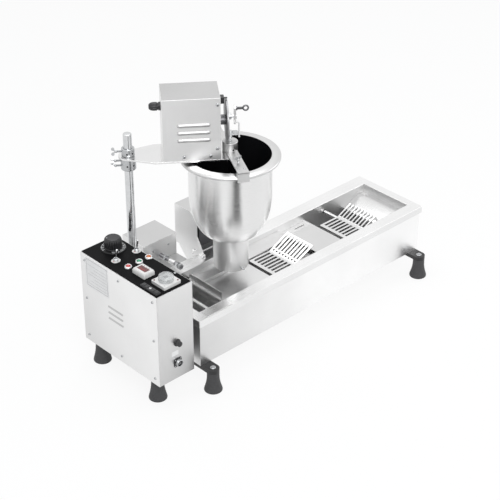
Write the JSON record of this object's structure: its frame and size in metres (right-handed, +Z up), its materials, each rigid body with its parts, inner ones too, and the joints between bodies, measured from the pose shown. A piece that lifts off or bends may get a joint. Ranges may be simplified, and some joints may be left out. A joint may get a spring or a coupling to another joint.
{
  "type": "automatic donut machine",
  "caption": "Benchtop donut machine: dough hopper and crank head on a swinging arm over an oil trough with coupled flippers, beside a control box.",
  "frame": {"origin": "on the floor under the centre of the whole machine", "axes": "+X along the trough away from the control box, +Y to the rear boxes, +Z up"},
  "size_m": [1.0526, 0.4579, 0.793],
  "materials": {
    "brushed_sheet": "brushed",
    "bright_steel": "satin",
    "polished_rod": "polished",
    "dark_metal": "satin",
    "panel_black": "gloss",
    "knob_black": "satin",
    "moulded_grey": "satin",
    "rubber_black": "matte",
    "case_white": "gloss",
    "lens_red": "gloss",
    "lens_green": "gloss",
    "lens_orange": "gloss",
    "display_red": "gloss",
    "clear_dial": "gloss"
  },
  "bodies": {
    "base": {"control_box_shell": "brushed_sheet", "control_box_cover": "brushed_sheet", "control_panel": "panel_black", "thermostat_body": "moulded_grey", "toggle_switch_bases": "polished_rod", "lamp_bezels": "polished_rod", "lamp_lens_red": "lens_red", "lamp_lens_green": "lens_green", "lamp_lens_orange": "lens_orange", "counter_case": "case_white", "counter_window": "display_red", "timer_body": "case_white", "relay_socket": "moulded_grey", "contactor": "moulded_grey", "fuse_holder": "knob_black", "power_socket": "knob_black", "sheet_screws": "bright_steel", "rubber_feet": "rubber_black", "foot_bars": "knob_black", "box_brackets": "bright_steel", "tank_casing": "brushed_sheet", "tank_rim": "bright_steel", "oil_pan": "brushed_sheet", "heater_elements": "dark_metal", "deck_left": "bright_steel", "deck_middle": "bright_steel", "channel_ledge": "bright_steel", "divider_plate": "bright_steel", "rim_clip": "bright_steel", "exit_slide": "bright_steel", "shaft_bearings": "dark_metal", "rear_shelf": "bright_steel", "drive_cover": "brushed_sheet", "drive_motor": "dark_metal", "gear_hood": "brushed_sheet", "gear_motor": "dark_metal", "post": "polished_rod"},
    "thermostat_dial": {"thermostat_skirt": "knob_black", "thermostat_knob": "knob_black"},
    "timer_knob": {"timer_dial": "clear_dial"},
    "toggle_left": {"toggle_lever_left": "polished_rod"},
    "toggle_right": {"toggle_lever_right": "polished_rod"},
    "flipper_one_body": {"flipper_one": "bright_steel"},
    "flipper_two_body": {"flipper_two": "bright_steel"},
    "push_rod_body": {"push_rod": "bright_steel"},
    "link_shaft_body": {"link_shaft": "bright_steel"},
    "carriage": {"collar_lower": "bright_steel", "collar_upper": "bright_steel", "collar_screws": "bright_steel"},
    "head": {"arm_plate": "brushed_sheet", "head_housing": "brushed_sheet", "head_motor": "dark_metal", "cable_gland": "knob_black", "limit_switch": "knob_black", "guide_hub": "bright_steel", "hopper": "brushed_sheet", "hopper_bars": "bright_steel"},
    "crank": {"crank_disc": "dark_metal"},
    "rod": {"connecting_rod": "bright_steel"},
    "plunger_body": {"plunger": "bright_steel"}
  },
  "joints": [
    {"name": "thermostat_turn", "type": "hinge", "parent": "base", "child": "thermostat_dial", "pos_m": [-0.44774, 0.10097, 0.364], "axis": [0, 0, 1], "range_deg": [-280, 0]},
    {"name": "timer_turn", "type": "hinge", "parent": "base", "child": "timer_knob", "pos_m": [-0.45681, -0.13205, 0.364], "axis": [0, 0, 1], "range_deg": [-300, 0]},
    {"name": "toggle_left_tip", "type": "hinge", "parent": "base", "child": "toggle_left", "pos_m": [-0.48469, 0.04412, 0.368], "axis": [1, 0, 0], "range_deg": [-24, 0]},
    {"name": "toggle_right_tip", "type": "hinge", "parent": "base", "child": "toggle_right", "pos_m": [-0.41178, 0.04412, 0.368], "axis": [1, 0, 0], "range_deg": [-24, 0]},
    {"name": "flipper_one_turn", "type": "hinge", "parent": "base", "child": "flipper_one_body", "pos_m": [0.03525, -0.071, 0.197], "axis": [0, 1, 0], "range_deg": [0, 155]},
    {"name": "flipper_two_turn", "type": "hinge", "parent": "base", "child": "flipper_two_body", "pos_m": [0.32325, -0.071, 0.197], "axis": [0, 1, 0], "range_deg": [0, 155]},
    {"name": "push_rod_pivot", "type": "hinge", "parent": "flipper_one_body", "child": "push_rod_body", "pos_m": [0.03525, 0.0995, 0.165], "axis": [0, 1, 0], "range_deg": [-155, 0]},
    {"name": "link_shaft_turn", "type": "hinge", "parent": "base", "child": "link_shaft_body", "pos_m": [-0.25575, 0.079, 0.245], "axis": [0, 1, 0], "continuous": true},
    {"name": "head_lift", "type": "slide", "parent": "base", "child": "carriage", "axis": [0, 0, 1], "range_m": [-0.012, 0.012]},
    {"name": "head_swing", "type": "hinge", "parent": "carriage", "child": "head", "pos_m": [-0.36075, 0.127, 0.606], "axis": [0, 0, 1], "range_deg": [-34, 6]},
    {"name": "crank_turn", "type": "hinge", "parent": "head", "child": "crank", "pos_m": [-0.14831, -0.03308, 0.703], "axis": [0.7986, -0.6018, 0], "continuous": true},
    {"name": "rod_pivot", "type": "hinge", "parent": "crank", "child": "rod", "pos_m": [-0.12915, -0.04753, 0.712], "axis": [0.7986, -0.6018, 0], "continuous": true},
    {"name": "plunger_slide", "type": "slide", "parent": "head", "child": "plunger_body", "axis": [0, 0, 1], "range_m": [-0.018, 0]}
  ],
  "couplings": [
    {"joint": "flipper_two_turn", "follows": "flipper_one_turn", "ratio": 1},
    {"joint": "push_rod_pivot", "follows": "flipper_one_turn", "ratio": -1},
    {"joint": "rod_pivot", "follows": "crank_turn", "ratio": -1}
  ]
}
